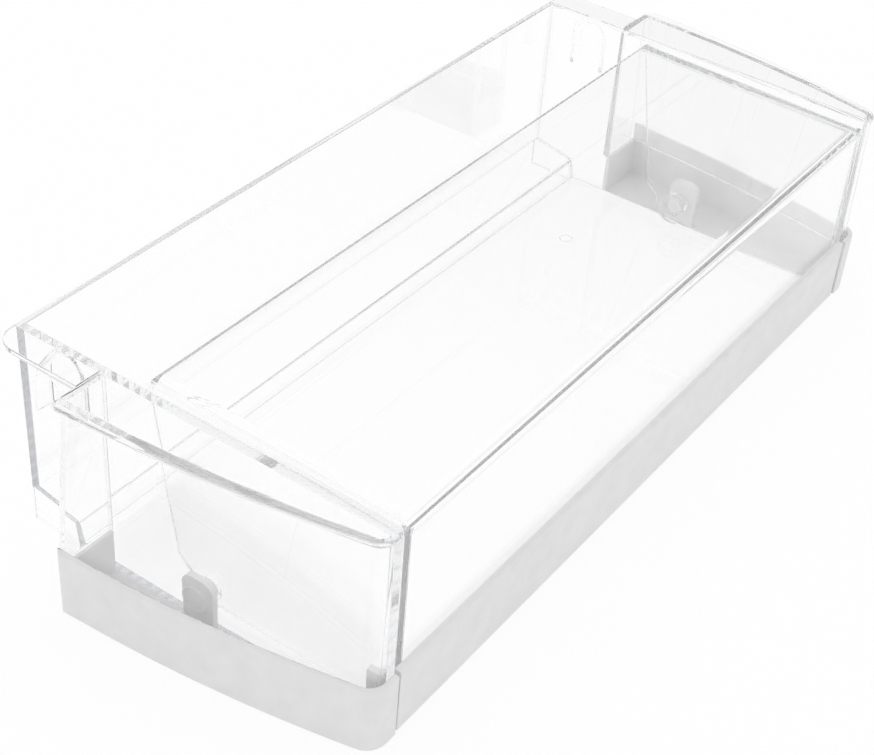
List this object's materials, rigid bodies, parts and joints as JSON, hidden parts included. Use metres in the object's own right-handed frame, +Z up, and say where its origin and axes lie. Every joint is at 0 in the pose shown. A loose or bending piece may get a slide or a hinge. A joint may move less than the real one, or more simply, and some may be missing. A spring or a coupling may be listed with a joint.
{
  "type": "fridge door shelf",
  "caption": "Clear refrigerator door shelf with a ledge along its back, bowed light grey side trims and a clear hood with a grey front bar that swings up and back.",
  "frame": {"origin": "middle of the footprint, on the surface that the shelf stands on", "axes": "+X along the shelf to the right as seen from the front, +Y towards the refrigerator door that the back wall meets, +Z up"},
  "size_m": [0.4538, 0.1926, 0.104],
  "materials": {
    "clear_plastic": "clear, glossy",
    "grey_plastic": "fine satin"
  },
  "bodies": {
    "shelf": {"tray": "clear_plastic", "left_side_trim": "grey_plastic", "right_side_trim": "grey_plastic"},
    "swing_hood": {"hood": "clear_plastic", "front_bar": "grey_plastic"}
  },
  "joints": [
    {"name": "hood_pivot", "type": "hinge", "parent": "shelf", "child": "swing_hood", "pos_m": [0, 0.00035, 0.016], "axis": [-1, 0, 0], "range_deg": [0, 60]}
  ]
}
